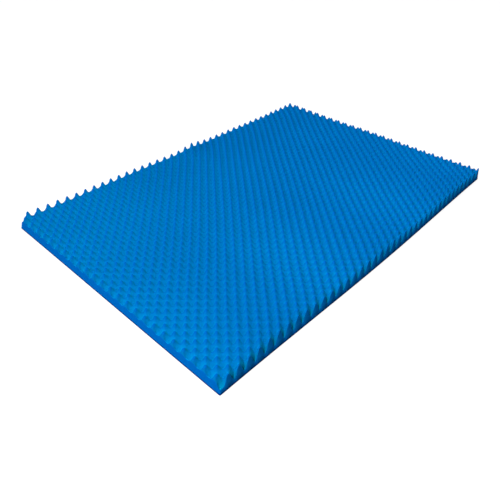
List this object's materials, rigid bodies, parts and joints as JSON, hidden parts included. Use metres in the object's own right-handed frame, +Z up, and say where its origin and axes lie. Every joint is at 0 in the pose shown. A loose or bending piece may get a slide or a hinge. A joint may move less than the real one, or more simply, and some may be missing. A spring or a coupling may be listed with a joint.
{
  "type": "mattress topper",
  "caption": "Rectangular foam mattress topper with staggered egg-crate peaks on top, plain cut sides and a flat underside.",
  "frame": {"origin": "under the middle of the pad, on the surface it lies on", "axes": "+X along the length, +Y across the width, +Z up through the peaks"},
  "size_m": [2.006, 1.4208, 0.0964],
  "materials": {
    "foam": "matte open-cell foam"
  },
  "bodies": {
    "root": {"foam_topper": "foam"}
  },
  "joints": []
}
